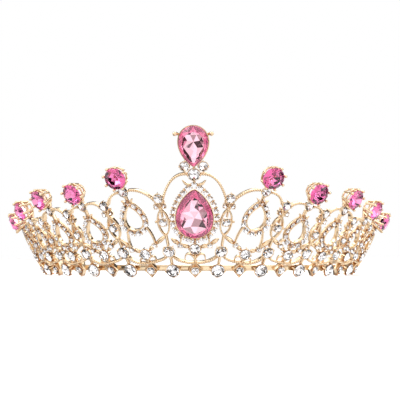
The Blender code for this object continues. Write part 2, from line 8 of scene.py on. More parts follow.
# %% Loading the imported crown
import math
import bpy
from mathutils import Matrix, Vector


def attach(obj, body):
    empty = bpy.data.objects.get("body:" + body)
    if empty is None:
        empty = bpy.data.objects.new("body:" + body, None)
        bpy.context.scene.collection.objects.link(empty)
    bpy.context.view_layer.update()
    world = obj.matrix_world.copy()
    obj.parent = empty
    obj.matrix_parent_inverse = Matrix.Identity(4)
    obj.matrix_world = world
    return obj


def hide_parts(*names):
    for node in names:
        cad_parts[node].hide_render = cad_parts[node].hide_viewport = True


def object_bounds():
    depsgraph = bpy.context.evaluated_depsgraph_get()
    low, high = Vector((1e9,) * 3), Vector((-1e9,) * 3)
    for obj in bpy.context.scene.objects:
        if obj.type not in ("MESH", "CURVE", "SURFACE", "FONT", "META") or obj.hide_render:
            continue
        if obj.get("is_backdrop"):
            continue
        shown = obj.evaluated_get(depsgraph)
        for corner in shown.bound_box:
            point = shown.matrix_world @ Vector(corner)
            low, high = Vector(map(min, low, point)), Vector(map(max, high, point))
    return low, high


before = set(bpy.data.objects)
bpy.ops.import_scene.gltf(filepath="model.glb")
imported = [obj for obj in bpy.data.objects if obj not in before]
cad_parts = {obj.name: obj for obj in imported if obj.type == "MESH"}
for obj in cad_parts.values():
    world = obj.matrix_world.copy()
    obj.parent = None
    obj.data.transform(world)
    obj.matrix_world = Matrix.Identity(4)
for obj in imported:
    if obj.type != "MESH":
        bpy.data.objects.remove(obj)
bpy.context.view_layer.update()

from types import SimpleNamespace

import bpy
import numpy as np
from mathutils import Matrix, Vector
from mathutils.geometry import interpolate_bezier

# %% [markdown]
# ## The layout
# The casting is drawn flat, in millimetres: X along the band, Y up the face, W out of it. A cone
# is a surface that unrolls flat, so a flat drawing can be rolled onto it with no stretching.
# That is also how the real one is shaped. The ring's radius, the flare and the places of the
# stones are those of the solid model.

# %% Rolling flat work onto the cone
MM = 0.001
RING_RADIUS = 74.6
FLARE = math.radians(26.0)
HALF_STEP = math.radians(6.2)
CONE_SLANT = RING_RADIUS / math.sin(FLARE)
# From the ring's centre to the middle of the box's underside
STAND = Vector((0.0, 31.2171, 2.95))


def to_row(flat):
    """Rolls flat points (an array, in mm) onto the cone and gives their places in metres."""
    slant = np.hypot(flat[:, 0], flat[:, 1] + CONE_SLANT)
    around = np.arctan2(flat[:, 0], flat[:, 1] + CONE_SLANT) / math.sin(FLARE)
    face = slant - CONE_SLANT
    radius = RING_RADIUS + face * math.sin(FLARE) + flat[:, 2] * math.cos(FLARE)
    height = face * math.cos(FLARE) - flat[:, 2] * math.sin(FLARE)
    rolled = np.stack([radius * np.sin(around), -radius * np.cos(around), height], axis=1)
    return (rolled + np.array(STAND)) * MM


class Station:
    """A place on the base line with its own upright axis, leaning outwards."""

    def __init__(self, half_steps, lean=0.0):
        side = (half_steps > 0) - (half_steps < 0)
        along = half_steps * HALF_STEP * math.sin(FLARE)
        self.turn = along + side * math.radians(lean)
        self.base = Vector((CONE_SLANT * math.sin(along), CONE_SLANT * (math.cos(along) - 1), 0))
        self.up = Vector((math.sin(self.turn), math.cos(self.turn), 0))
        self.right = Vector((math.cos(self.turn), -math.sin(self.turn), 0))

    def at(self, x, y, w=0.0):
        """A place on the flat work, by this axis."""
        return self.base + self.right * x + self.up * y + Vector((0, 0, w))

    def flat_matrix(self, x, y, w=0.0, turn=0.0, size=(1, 1, 1)):
        """Sets a copy on the flat work, turned with this axis, and by turn more."""
        return (Matrix.Translation(self.at(x, y, w)) @ Matrix.Rotation(turn - self.turn, 4, 'Z')
                @ Matrix.Diagonal((*size, 1)))

    def row_matrix(self, x, y, w):
        """Sets a stone, drawn in mm, rigid on the rolled work, in metres."""
        here = self.at(x, y, w)
        flat_angle = math.atan2(here.x, here.y + CONE_SLANT)
        around = flat_angle / math.sin(FLARE)
        tangent = Vector((math.cos(around), math.sin(around), 0))
        slope = Vector((math.sin(FLARE) * math.sin(around), -math.sin(FLARE) * math.cos(around),
                        math.cos(FLARE)))
        lean = self.turn - flat_angle
        right = tangent * math.cos(lean) - slope * math.sin(lean)
        up = tangent * math.sin(lean) + slope * math.cos(lean)
        turned = Matrix((right, up, right.cross(up))).transposed().to_4x4()
        place = Vector(to_row(np.array([here]))[0])
        return Matrix.Translation(place) @ turned @ Matrix.Scale(MM, 4)


# Side units: half steps from the centre, lean in degrees, heights up the unit's own axis
UNIT_COLUMNS = ("steps", "lean", "tip", "clear", "loop_top", "loop_bottom", "round")
UNITS = [
    (2, 11.5, 37.0, 31.2, 25.8, 16.1, 6.6),
    (4, 12.5, 32.0, 26.4, 20.4, 11.5, 6.4),
    (6, 12.5, 31.0, 25.3, 19.4, 10.7, 6.0),
    (8, 12.0, 27.4, 21.7, 16.8, 9.6, 5.8),
    (10, 12.0, 23.2, 17.7, 13.6, 8.8, 5.6),
]
# Boundary motifs between the units
BOUND_COLUMNS = ("steps", "lean", "main", "middle", "pair")
BOUNDS = [
    (1, 6.5, 28.1, 19.0, 7.6),
    (3, 12.0, 26.0, 17.2, 7.2),
    (5, 12.5, 23.6, 14.8, 6.8),
    (7, 12.0, 21.4, 12.8, 6.3),
    (9, 10.0, 19.0, 11.2, 5.9),
]
ROOT_DROP = 4.6
centre = Station(0)
units, bounds = {}, {}
for side in (-1, 1):
    for index, row in enumerate(BOUNDS):
        bound = SimpleNamespace(**dict(zip(BOUND_COLUMNS, row)))
        bound.station = Station(side * bound.steps, bound.lean)
        bound.root = bound.main - ROOT_DROP
        bound.cross = (bound.middle + bound.pair) / 2 + 0.4
        bounds[side, index] = bound
    for index, row in enumerate(UNITS):
        unit = SimpleNamespace(**dict(zip(UNIT_COLUMNS, row)))
        unit.station = Station(side * unit.steps, unit.lean)
        units[side, index] = unit
print(len(units), "side units and", len(bounds), "boundary motifs")

# %% [markdown]
# ## Camera
# The photograph looks up at the tiara from 0.3 m, from where the floor would be in the way once
# the tiara stands on its base. So this camera keeps the photograph's side, distance and lens,
# and is as low as it can be. It looks up a little, to have the crown in the middle. The lens
# comes from the photograph's scale: 2.053 pixels for a millimetre at the ring's centre.

# %% The camera
FRAME_PIXELS = 400
PIXELS_PER_MM = 2.053
CAMERA_DISTANCE = 300.0
CAMERA_YAW = math.radians(1.3)
CAMERA_HEIGHT = 7.0
CAMERA_PITCH = math.radians(5.4)
SENSOR = 36.0

bpy.ops.object.camera_add()
camera = bpy.context.object
camera.name = "camera"
camera.data.sensor_width = SENSOR
camera.data.lens = PIXELS_PER_MM * CAMERA_DISTANCE * SENSOR / FRAME_PIXELS
camera.data.clip_start = 0.01
camera.location = MM * Vector((
    CAMERA_DISTANCE * math.sin(CAMERA_YAW), STAND.y - CAMERA_DISTANCE * math.cos(CAMERA_YAW),
    CAMERA_HEIGHT))
camera.rotation_euler = (math.pi / 2 + CAMERA_PITCH, 0, CAMERA_YAW)
bpy.context.scene.camera = camera
print("lens", round(camera.data.lens, 1), "mm")

# %% [markdown]
# ## Light
# A polished thing shows what is round it, so the light is the finish. Jewellery is photographed
# in a white tent with black cards hung in it: each facet picks up one piece of it, white facets
# and black ones lie side by side, and so a stone sparkles. The world stands for the tent, and
# the cells of a Voronoi texture for its cloths and cards. The camera itself sees a plain
# backdrop. Soft lamps add the highlights. The floor is plain and pale.

# %% Colours, nodes and plain finishes


def linear(colour):
    """An sRGB colour, as a hex text, in the linear values that shaders use."""
    parts = [int(colour[i:i + 2], 16) / 255 for i in (1, 3, 5)]
    return [p / 12.92 if p <= 0.04045 else ((p + 0.055) / 1.055) ** 2.4 for p in parts] + [1.0]


def add_node(tree, kind, values=None, links=None, **settings):
    """Adds a node with its settings, its input values, and links as input: (node, output)."""
    made = tree.nodes.new(kind)
    for name, value in settings.items():
        setattr(made, name, value)
    for name, value in (values or {}).items():
        made.inputs[name].default_value = value
    for name, (source, output) in (links or {}).items():
        tree.links.new(source.outputs[output], made.inputs[name])
    return made


def new_finish(name, colour, roughness, **settings):
    """A finish of one Principled shader. Settings are its other inputs, _ standing for a space."""
    finish = bpy.data.materials.new(name)
    finish.use_nodes = True
    shader = finish.node_tree.nodes["Principled BSDF"]
    shader.inputs["Base Color"].default_value = linear(colour)
    shader.inputs["Roughness"].default_value = roughness
    for key, value in settings.items():
        shader.inputs[key.replace("_", " ")].default_value = value
    return finish


# %% The light tent
# The share of the tent up to which each panel goes, and its colour
PANELS = [(0.0, "#231C1C"), (0.16, "#A39B97"), (0.30, "#E8E4E2"), (0.62, "#FFFFFF")]
PANEL_SCALE = 2.3
PANEL_SHIFT = (7.7, 1.4, 3.2)
TENT_STRENGTH = 1.4
BACKDROP = linear("#FFFFFF")

world = bpy.data.worlds.new("light_tent")
bpy.context.scene.world = world
world.use_nodes = True
tree = world.node_tree
tree.nodes.clear()
where = add_node(tree, "ShaderNodeTexCoord")
hung = add_node(tree, "ShaderNodeMapping", {"Location": PANEL_SHIFT},
                {"Vector": (where, "Generated")})
panel = add_node(tree, "ShaderNodeTexVoronoi", {"Scale": PANEL_SCALE},
                 {"Vector": (hung, "Vector")})
chance = add_node(tree, "ShaderNodeSeparateColor", links={"Color": (panel, "Color")})
cloth = add_node(tree, "ShaderNodeValToRGB", links={"Fac": (chance, "Red")})
cloth.color_ramp.interpolation = 'CONSTANT'
for number, (share, colour) in enumerate(PANELS):
    stops = cloth.color_ramp.elements
    stop = stops[number] if number < 2 else stops.new(share)
    stop.position = share
    stop.color = linear(colour)
tent = add_node(tree, "ShaderNodeBackground", {"Strength": TENT_STRENGTH},
                {"Color": (cloth, "Color")})
plain = add_node(tree, "ShaderNodeBackground", {"Color": BACKDROP})
seen = add_node(tree, "ShaderNodeLightPath")
mixed = add_node(tree, "ShaderNodeMixShader", links={
    "Fac": (seen, "Is Camera Ray"), 1: (tent, "Background"), 2: (plain, "Background")})
add_node(tree, "ShaderNodeOutputWorld", links={"Surface": (mixed, "Shader")})

# %% Soft lamps
# Each has its name, place, size in metres and power in watts
LAMPS = [
    ("key_lamp", (-0.35, -0.25, 0.40), 0.30, 0.9),
    ("fill_lamp", (0.42, -0.18, 0.22), 0.26, 0.5),
    ("top_lamp", (0.0, 0.10, 0.50), 0.40, 0.8),
    ("back_lamp", (0.12, 0.50, 0.26), 0.30, 0.5),
]
LAMP_AIM = Vector((0, 0, 0.02))
for name, place, size, power in LAMPS:
    bpy.ops.object.light_add(type='AREA', location=place)
    made = bpy.context.object
    made.name, made.data.size, made.data.energy = name, size, power
    toward = LAMP_AIM - made.location
    made.rotation_euler = toward.to_track_quat('-Z', 'Y').to_euler()
print(len(LAMPS), "lamps")

# %% The floor
FLOOR_SIZE = 60.0
bpy.ops.mesh.primitive_plane_add(size=FLOOR_SIZE)
floor = bpy.context.object
floor.name = "floor"
# Opal acrylic, lit from below as on a jeweller's light table: it gives an even white
floor.data.materials.append(new_finish(
    "opal_acrylic_table", "#F2F1F0", roughness=0.6, Emission_Color=linear("#FFFFFF"),
    Emission_Strength=0.3))
# The crown mirrors the tent all round, as it does on a stand. An even white right under it
# would take the dark facets out of the stones
floor.visible_glossy = False
floor.visible_transmission = False
floor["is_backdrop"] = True
bpy.context.scene.view_settings.view_transform = 'Standard'

# %% [markdown]
# ## The finishes
# ** Rose gold plate.** The casting is tumbled bright and plated with a thin rose gold, pale
# champagne. Shade is painted into its recesses: where ambient occlusion finds one, the colour
# goes to a deeper copper. A metal's colour is its reflection, so the base colour carries it.
# The tumbled skin is not quite flat, so a fine noise lifts it by about a hundredth of a
# millimetre.
#
# **Foil-backed glass.** A rhinestone is a glass chaton with a mirror foil on its back facets.
# Light goes in through the table, is turned by the foil, and comes out again. So the front is
# glass with nothing painted on it, and the back facets are a second material, the foil. Glass
# has an index of about 1.52, the lead-free crystal of such stones 1.56. A tinted stone is deeper
# in colour round its edge: light goes a longer way through it there, and the ground girdle
# scatters some. So the slanting facets of the front have a deeper tint, and are less clear.

# %% Rose gold plate
# The plate's own colour, and a deeper copper painted into the recesses as shade
PLATE_PALE = linear("#EAD1AE")
PLATE_PAINTED_SHADE = linear("#C8935F")
# How much of its surroundings a spot sees where the painted shade is deepest, and where the plate
# is palest
PAINTED_SHADE_RANGE = (0.1, 0.8)
PAINTED_SHADE_REACH = 1.6 * MM
# The tumbled skin, a gentle orange peel
PEEL_SIZE, PEEL_HEIGHT, PEEL_STRENGTH = 0.6 * MM, 0.02 * MM, 0.5
# Roughness, from the smoothest spots to the dullest
TUMBLED = (0.14, 0.26)
AS_CAST = (0.42, 0.55)

rose_gold = bpy.data.materials.new("rose_gold_plate")
rose_gold.use_nodes = True
tree = rose_gold.node_tree
shader = tree.nodes["Principled BSDF"]
shader.inputs["Metallic"].default_value = 1.0
here = add_node(tree, "ShaderNodeTexCoord")
peel = add_node(tree, "ShaderNodeTexNoise", {"Scale": 1 / PEEL_SIZE, "Detail": 3.0},
                {"Vector": (here, "Object")})
# Painted shade: ambient occlusion finds the recesses, and the colour there goes to the deeper
# copper
occlusion = add_node(tree, "ShaderNodeAmbientOcclusion", {"Distance": PAINTED_SHADE_REACH}, samples=4)
depth = add_node(tree, "ShaderNodeMapRange",
                 {"From Min": PAINTED_SHADE_RANGE[0], "From Max": PAINTED_SHADE_RANGE[1]},
                 {"Value": (occlusion, "AO")})
tint = add_node(tree, "ShaderNodeMixRGB", {"Color1": PLATE_PAINTED_SHADE, "Color2": PLATE_PALE},
                {"Fac": (depth, "Result")})
polish = add_node(tree, "ShaderNodeMapRange", {"To Min": TUMBLED[0], "To Max": TUMBLED[1]},
                  {"Value": (peel, "Fac")})
skin = add_node(tree, "ShaderNodeBump", {"Strength": PEEL_STRENGTH, "Distance": PEEL_HEIGHT},
                {"Height": (peel, "Fac")})
tree.links.new(tint.outputs["Color"], shader.inputs["Base Color"])
tree.links.new(polish.outputs["Result"], shader.inputs["Roughness"])
tree.links.new(skin.outputs["Normal"], shader.inputs["Normal"])
# The backs of the settings aren't tumbled: plate over the skin of the casting, so it is satin
satin_back = rose_gold.copy()
satin_back.name = "rose_gold_plate_as_cast"
satin = satin_back.node_tree.nodes[polish.name]
satin.inputs["To Min"].default_value, satin.inputs["To Max"].default_value = AS_CAST

# %% Glass and foil
GLASS_INDEX = 1.56
FOIL_ROUGHNESS = 0.03
# Each has its name, the colours of the table and the edge, the edge's clearness, and the foil
GLASSES = [
    ("pale_rose_glass", "#FDE8F0", "#EB7CA5", 0.7, "#FDE0EA"),
    ("rose_glass", "#FAC8E2", "#F19CCA", 0.95, "#F9C2E0"),
    ("crystal_glass", "#FCFCFD", "#FCFCFD", 1.0, "#FAFAFB"),
]
stone_finish = {}
for name, table, edge, clearness, foil in GLASSES:
    stone_finish[name] = (
        new_finish(name, table, 0.0, Transmission_Weight=1.0, IOR=GLASS_INDEX),
        new_finish(name + "_foil", foil, FOIL_ROUGHNESS, Metallic=1.0),
        new_finish(name + "_edge", edge, 0.0, Transmission_Weight=clearness, IOR=GLASS_INDEX))
print("finishes:", rose_gold.name, *stone_finish)

# %% [markdown]
# ## Small helpers for modelling
# An operator works on all that is selected, so a step first deselects all and then picks its
# faces by where they look. A part that repeats is modelled once, and copied with its own mesh.

# %% Selecting, keeping and copying
# How far along Z a face's normal has to go for the face to look that way, and to be satin
LOOKS_ALONG, LOOKS_BACK = 0.9, -0.7
# Metal is shaded smooth where it bends by less than this. The facets of glass stay flat
SMOOTH_UNDER = math.radians(50)


def enter(mode):
    """Goes to edit mode or object mode."""
    bpy.ops.object.mode_set(mode=mode)


def alone(piece):
    """Makes a piece the only selected one."""
    bpy.ops.object.select_all(action='DESELECT')
    piece.select_set(True)
    bpy.context.view_layer.objects.active = piece


def pick_faces(piece, way):
    """Selects in edit mode the faces that look up, for a way of 1, or down, for -1."""
    enter('EDIT')
    bpy.ops.mesh.select_mode(type='FACE')
    bpy.ops.mesh.select_all(action='DESELECT')
    enter('OBJECT')
    for face in piece.data.polygons:
        face.select = face.normal.z * way > LOOKS_ALONG
    enter('EDIT')


def push(height, share=1.0):
    """Extrudes the picked face by a height and draws it in to a share of its size."""
    bpy.ops.mesh.extrude_region_move(TRANSFORM_OT_translate={"value": (0, 0, height)})
    bpy.ops.transform.resize(value=(share, share, 1), center_override=(0, 0, 0))


def satin_faces(piece):
    """Gives a setting its two finishes: the faces that look backwards are satin."""
    piece.data.materials.append(rose_gold)
    piece.data.materials.append(satin_back)
    for face in piece.data.polygons:
        face.material_index = 1 if face.normal.z < LOOKS_BACK else 0


def as_pattern(piece, *finishes):
    """Keeps a modelled piece as a pattern to copy, with its finishes, and removes its object."""
    alone(piece)
    bpy.ops.object.transform_apply()
    for finish in finishes:
        piece.data.materials.append(finish)
    pattern = piece.data
    bpy.data.objects.remove(piece)
    return pattern


def copy_of(pattern, matrix, parts):
    """Adds a copy with its own mesh to the list of a piece's parts."""
    made = bpy.data.objects.new(pattern.name, pattern.copy())
    made.data.transform(matrix)
    bpy.context.collection.objects.link(made)
    parts.append(made)
    return made


def joined(parts, name):
    """Joins parts into one piece."""
    alone(parts[0])
    for part in parts:
        part.select_set(True)
    bpy.ops.object.join()
    piece = bpy.context.object
    piece.name = piece.data.name = name
    return piece


def roll(piece):
    """Rolls a piece of flat work onto the cone."""
    count = len(piece.data.vertices)
    places = np.zeros(count * 3, np.float32)
    piece.data.vertices.foreach_get("co", places)
    rolled = to_row(places.reshape(-1, 3).astype(float))
    # The drop points are cut level with the table, as those of the solid model are
    rolled[:, 2] = np.maximum(rolled[:, 2], 0.0)
    piece.data.vertices.foreach_set("co", rolled.astype(np.float32).ravel())
    piece.data.update()


def finish_piece(piece, slot, node):
    """The last steps of every piece: its shading, its body, and hiding the plain part it stands
    for.
    """
    alone(piece)
    if slot == "gold_plate":
        bpy.ops.object.shade_smooth_by_angle(angle=SMOOTH_UNDER)
    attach(piece, "root")
    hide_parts(node)
    piece.data.calc_loop_triangles()
    print(piece.name, len(piece.data.loop_triangles), "triangles")


# %% [markdown]
# ## Wires
# The lattice is a net of cast ribbons: narrow from the front, deeper than they are wide, with
# rounded edges. A curve with a bevel and an extrusion has just that section. The curve lies in
# the flat work, with its depth along W, and is rolled with the rest.

# %% A ribbon along a path
RIBBON_ROUND = 2


def ribbon(points, half_width, half_depth, parts, closed=False, shares=None):
    """A ribbon through points of the flat work. Shares scale its section along the way."""
    bpy.ops.curve.primitive_bezier_curve_add()
    wire = bpy.context.object
    curve = wire.data
    curve.splines.clear()
    curve.twist_mode = 'Z_UP'
    curve.fill_mode = 'FULL'
    curve.bevel_depth = half_width
    curve.bevel_resolution = RIBBON_ROUND
    curve.extrude = max(half_depth - half_width, 0.0)
    curve.use_fill_caps = True
    spline = curve.splines.new('POLY')
    spline.points.add(len(points) - 1)
    for number, point in enumerate(points):
        spline.points[number].co = (*point, 1)
        spline.points[number].radius = shares[number] if shares else 1.0
    spline.use_cyclic_u = closed
    alone(wire)
    bpy.ops.object.convert(target='MESH')
    wire = bpy.context.object
    wire.data.materials.append(rose_gold)
    parts.append(wire)


def bow(start, end, pulls, right, up, end_up=None, steps=18):
    """Points of one curve. The handle of each end pulls so far to the right and so far up."""
    (start_right, start_rise), (end_right, end_rise) = pulls
    end_up = up if end_up is None else end_up
    return interpolate_bezier(start, start + (right * start_right + up * start_rise),
                              end + (right * end_right + end_up * end_rise), end, steps + 1)


def evenly(points, pitch, closed=False):
    """Points a fixed distance apart along a path."""
    path = [Vector(p) for p in points]
    if closed:
        path.append(path[0])
    runs = [0.0]
    for first, second in zip(path, path[1:]):
        runs.append(runs[-1] + (second - first).length)
    count = max(2, round(runs[-1] / pitch))
    found = []
    for number in range(count if closed else count + 1):
        want = runs[-1] * number / count
        index = min(max(int(np.searchsorted(runs, want)), 1), len(path) - 1)
        share = (want - runs[index - 1]) / (runs[index] - runs[index - 1])
        found.append(path[index - 1].lerp(path[index], share))
    return found


# %% [markdown]
# ## Milgrain
# A row of beads along an edge, rolled into the metal with a small wheel. It is drawn as a thin
# wire that swells to each bead and narrows to a neck behind it.

# %% A beaded wire
GRAIN_PITCH, GRAIN_RADIUS = 0.85, 0.5
GRAIN_STEPS = 4
GRAIN_NECK, GRAIN_SWELL = 0.55, 0.7


def milgrain(points, out, parts):
    """A beaded wire along a path, lifted out of the flat work."""
    line = evenly(points, GRAIN_PITCH / GRAIN_STEPS)
    lifted = [p + Vector((0, 0, out)) for p in line]
    swells = [abs(math.cos(math.pi * n / GRAIN_STEPS)) ** GRAIN_SWELL for n in range(len(line))]
    shares = [GRAIN_NECK + (1 - GRAIN_NECK) * swell for swell in swells]
    shares[0] = shares[-1] = GRAIN_NECK
    ribbon(lifted, GRAIN_RADIUS, GRAIN_RADIUS, parts, shares=shares)


# %% [markdown]
# ## Patterns that repeat
# The small claw cup: a tapered cup with a bright pocket and four claws, each ending in a ball.
# It starts as a cylinder: the bottom face is drawn in, the top is inset and pushed down. It is
# drawn for a stone of radius 1 and copied at each stone's size.

# %% The claw cup
CUP_HEIGHT, CUP_RIM, CUP_WALL = 1.9, 1.14, 0.13
# The foot and the pocket's floor are drawn in to these shares
CUP_FOOT, POCKET, POCKET_FLOOR = 0.62, 1.5, 0.55
# How far from the cup's axis a claw and its ball are, and how high
CUP_CLAW, CUP_BALL = (1.1, 0.45), (1.04, 1.28)


def round_axis(place, angle):
    """A place by its distance from the axis and its height, turned round the axis."""
    return Vector((place[0] * math.sin(angle), place[0] * math.cos(angle), place[1]))


bpy.ops.mesh.primitive_cylinder_add(vertices=12, radius=CUP_RIM, depth=CUP_HEIGHT)
cup = bpy.context.object
alone(cup)
pick_faces(cup, -1)
bpy.ops.transform.resize(value=(CUP_FOOT, CUP_FOOT, 1))
pick_faces(cup, 1)
bpy.ops.mesh.inset(thickness=CUP_WALL)
push(-POCKET, POCKET_FLOOR)
for number in range(4):
    angle = math.radians(45 - 90 * number)
    bpy.ops.mesh.primitive_cone_add(
        vertices=5, radius1=0.1, radius2=0.13, depth=1.5, location=round_axis(CUP_CLAW, angle))
    bpy.ops.mesh.primitive_ico_sphere_add(
        subdivisions=1, radius=0.21, location=round_axis(CUP_BALL, angle), scale=(1, 1, 1.3))
enter('OBJECT')
cup.name = "claw_cup"
satin_faces(cup)
claw_cup = as_pattern(cup)
print("claw cup:", len(claw_cup.polygons), "faces")

# %% The ball, for claws and grains
bpy.ops.mesh.primitive_uv_sphere_add(segments=8, ring_count=6, radius=1.0)
grain = as_pattern(bpy.context.object, rose_gold)
grain.name = "grain"

# %% [markdown]
# ## Cut stones
# A cut stone is convex, so it can be made from the corners of its facets alone: rings of points
# for the table, the star, the girdle and the back, and then the hull over them all. Flat
# neighbours are dissolved, and what is left are the facets. A kite facet is flat only if its
# outer points lie on the line from table to girdle, so their height is worked out.

# %% A brilliant cut, for any outline
# The points between the kites, as shares of the way in from the girdle: front and back
STAR_SHARE, LOWER_SHARE = 0.45, 0.3
CULET_RADIUS = 0.002
ONE_FACET = math.radians(1.5)
# The Z of a normal: less on the foiled back, more on the table
BACK_Z, TABLE_Z = -0.05, 0.99


def kite_ring(outer, top, share, count):
    """Radius and height of the points between kites, on flat kites from outer to top."""
    (wide, low), (narrow, high) = outer, top
    flat_radius = wide + (narrow - wide) * share
    return flat_radius / math.cos(math.pi / count), low + (high - low) * share


def cut_stone(name, count, table, crown, girdle, pavilion, finish, outline=None, culet=(0, 0),
              full=True, back=None):
    """A stone of radius 1, cut with count main facets. An outline can change its shape.

    Back, if given, lists the rings of the back: sides, radius, share of the depth, and turn.
    """
    bpy.ops.mesh.primitive_circle_add(vertices=count, radius=table, location=(0, 0, crown))
    stone = bpy.context.object
    alone(stone)
    bpy.ops.object.transform_apply()
    enter('EDIT')
    half = math.pi / count
    rings = [(count, 1.0, girdle / 2, 0.0), (count, 1.0, -girdle / 2, 0.0)]
    if full:
        radius, height = kite_ring((1.0, girdle / 2), (table, crown), STAR_SHARE, count)
        rings += [(count, radius, height, half)]
        rings += [(count, 1.0, girdle / 2, half), (count, 1.0, -girdle / 2, half)]
        if back:
            for sides, radius, share, turn in back:
                rings.append((sides, radius, -pavilion * share, turn))
        else:
            radius, height = kite_ring((1.0, -girdle / 2), (0.0, -pavilion), LOWER_SHARE, count)
            rings += [(count, radius, height, half)]
    for sides, radius, height, turn in rings:
        bpy.ops.mesh.primitive_circle_add(
            vertices=sides, radius=radius, location=(0, 0, height), rotation=(0, 0, turn))
    bpy.ops.mesh.primitive_circle_add(
        vertices=3, radius=CULET_RADIUS, location=(0, 0, -pavilion))
    enter('OBJECT')
    if outline:
        for vert in stone.data.vertices:
            share = math.hypot(vert.co.x, vert.co.y)
            angle = math.atan2(vert.co.x, vert.co.y) % math.tau
            x, y = outline(angle)
            depth = min(max(-vert.co.z / pavilion, 0.0), 1.0)
            vert.co.x = x * share + culet[0] * depth
            vert.co.y = y * share + culet[1] * depth
    enter('EDIT')
    bpy.ops.mesh.select_all(action='SELECT')
    bpy.ops.mesh.convex_hull()
    bpy.ops.mesh.select_all(action='SELECT')
    bpy.ops.mesh.dissolve_limited(angle_limit=ONE_FACET)
    bpy.ops.mesh.select_all(action='SELECT')
    bpy.ops.mesh.normals_make_consistent(inside=False)
    enter('OBJECT')
    for face in stone.data.polygons:
        slant = face.normal.z
        face.material_index = 1 if slant < BACK_Z else 0 if slant > TABLE_Z else 2
    stone.name = name
    return as_pattern(stone, *stone_finish[finish])


# Each has its sides, and its table, crown, girdle and depth as shares of the radius
SMALL_CROWN = 0.34
small_clear = cut_stone("small_clear", 8, 0.56, SMALL_CROWN, 0.05, 0.42, "crystal_glass",
                        full=False)
full_clear = cut_stone("full_clear", 8, 0.52, 0.36, 0.05, 0.68, "crystal_glass")
full_rose = cut_stone("full_rose", 8, 0.50, 0.36, 0.05, 0.66, "rose_glass")
print("facets of a full cut:", len(full_rose.polygons))

# %% [markdown]
# A pear is a circle with one side drawn out to a point. The culet, where the back facets meet,
# is under the middle of the round part and not under the middle of the length.

# %% The pears
# How strongly a pear is drawn out to its point: an open loop more than a stone
LOOP_POINT = 0.7
STONE_POINT = 0.5
CENTRE_PEAR = 22.4
CENTRE_PEAR_SIZE = (13.0, 18.0)
TOP_PEAR = 46.9
TOP_PEAR_SIZE = (10.0, 14.0)
# Sides, the table's share of the outline, and the heights of crown, girdle and back
PEAR_CUT = (14, 0.76, 1.5, 0.3, 2.4)
# The rings of the back: two, so that the facets are steep at the edge and flatter inside
PEAR_BACK = ((7, 0.76, 0.60, math.pi / 7), (7, 0.42, 0.85, 0.0))
# How far the culet goes from the middle of the length towards that of the round part
CULET_SHARE = 0.7


def pear_outline(width, length, point, flip=1):
    """The edge of a pear: angle 0 is its point."""
    turns = [math.pi * n / 180 for n in range(180)]
    widest = max(math.sin(a) * math.sin(a / 2) ** point for a in turns)

    def edge(angle):
        x = width / 2 / widest * math.sin(angle) * abs(math.sin(angle / 2)) ** point
        return x * flip, length / 2 * math.cos(angle) * flip
    return edge


def pear_path(width, length, point, steps=96, flip=1):
    """Points round a pear, from its point."""
    edge = pear_outline(width, length, point, flip)
    return [Vector((*edge(math.tau * n / steps), 0)) for n in range(steps)]


def cut_pear(name, size, flip):
    """A pear of a width and length in mm, its point up, or down for a flip of -1."""
    width, length = size
    lower = -(length - width) / 2 * CULET_SHARE * flip
    return cut_stone(name, *PEAR_CUT, "pale_rose_glass", back=PEAR_BACK,
                     outline=pear_outline(width, length, STONE_POINT, flip), culet=(0, lower))


centre_pear_cut = cut_pear("centre_pear_cut", CENTRE_PEAR_SIZE, 1)
top_pear_cut = cut_pear("top_pear_cut", TOP_PEAR_SIZE, -1)
print("facets of a pear:", len(centre_pear_cut.polygons))

# %% [markdown]
# ## Setting the main stones
# Each main stone replaces its plain solid, at the same place and height in its cup.

# %% Main stones
TIP_STONE, BASE_STONE, UNIT_STONE = 7.8, 4.8, 3.9
TREFOIL_CENTRE, TREFOIL_SIDE = 4.2, 3.3
CENTRE_ROUND, TREFOIL_HEIGHT, TREFOIL_SPREAD, TREFOIL_LIFT = 8.6, 36.6, 3.2, 2.9
ROUND_SEAT, BASE_SEAT, TIP_SEAT = 1.35, 1.45, 3.15
CENTRE_PEAR_SEAT, TOP_PEAR_SEAT = 2.2, 2.4


def set_stone(pattern, node, station, y, seat, width=2.0, x=0.0):
    """Copies a cut stone to its cup. A pear is drawn at its full size, a round at a width of 2."""
    made = copy_of(pattern, station.row_matrix(x, y, seat) @ Matrix.Scale(width / 2, 4), [])
    made.name = node + "_cut"
    finish_piece(made, "clear_glass" if pattern == full_clear else "pink_glass", node)


SIDES = {-1: "left", 1: "right"}
for (side, index), unit in units.items():
    where = f"round_{SIDES[side]}_{index + 1}"
    set_stone(full_rose, "tip_" + where, unit.station, unit.tip, TIP_SEAT, TIP_STONE)
    set_stone(full_clear, "unit_" + where, unit.station, unit.round, ROUND_SEAT, UNIT_STONE)
    set_stone(full_clear, "base_" + where, bounds[side, index].station, 0, BASE_SEAT, BASE_STONE)
set_stone(full_clear, "unit_round_centre", centre, CENTRE_ROUND, ROUND_SEAT, UNIT_STONE)
set_stone(full_clear, "trefoil_round_centre", centre, TREFOIL_HEIGHT, ROUND_SEAT,
          TREFOIL_CENTRE)
for side, word in SIDES.items():
    set_stone(full_clear, f"trefoil_round_{word}_1", centre, TREFOIL_HEIGHT + TREFOIL_LIFT,
              ROUND_SEAT, TREFOIL_SIDE, side * TREFOIL_SPREAD)
set_stone(centre_pear_cut, "centre_pear", centre, CENTRE_PEAR, CENTRE_PEAR_SEAT)
set_stone(top_pear_cut, "top_pear", centre, TOP_PEAR, TOP_PEAR_SEAT)

# %% [markdown]
# ## Small stones in claw cups
# Each small stone sits in its own cup. The cups come first, because a cast wire stops at a
# cup's wall: one that ran on through it would show inside the clear stone.

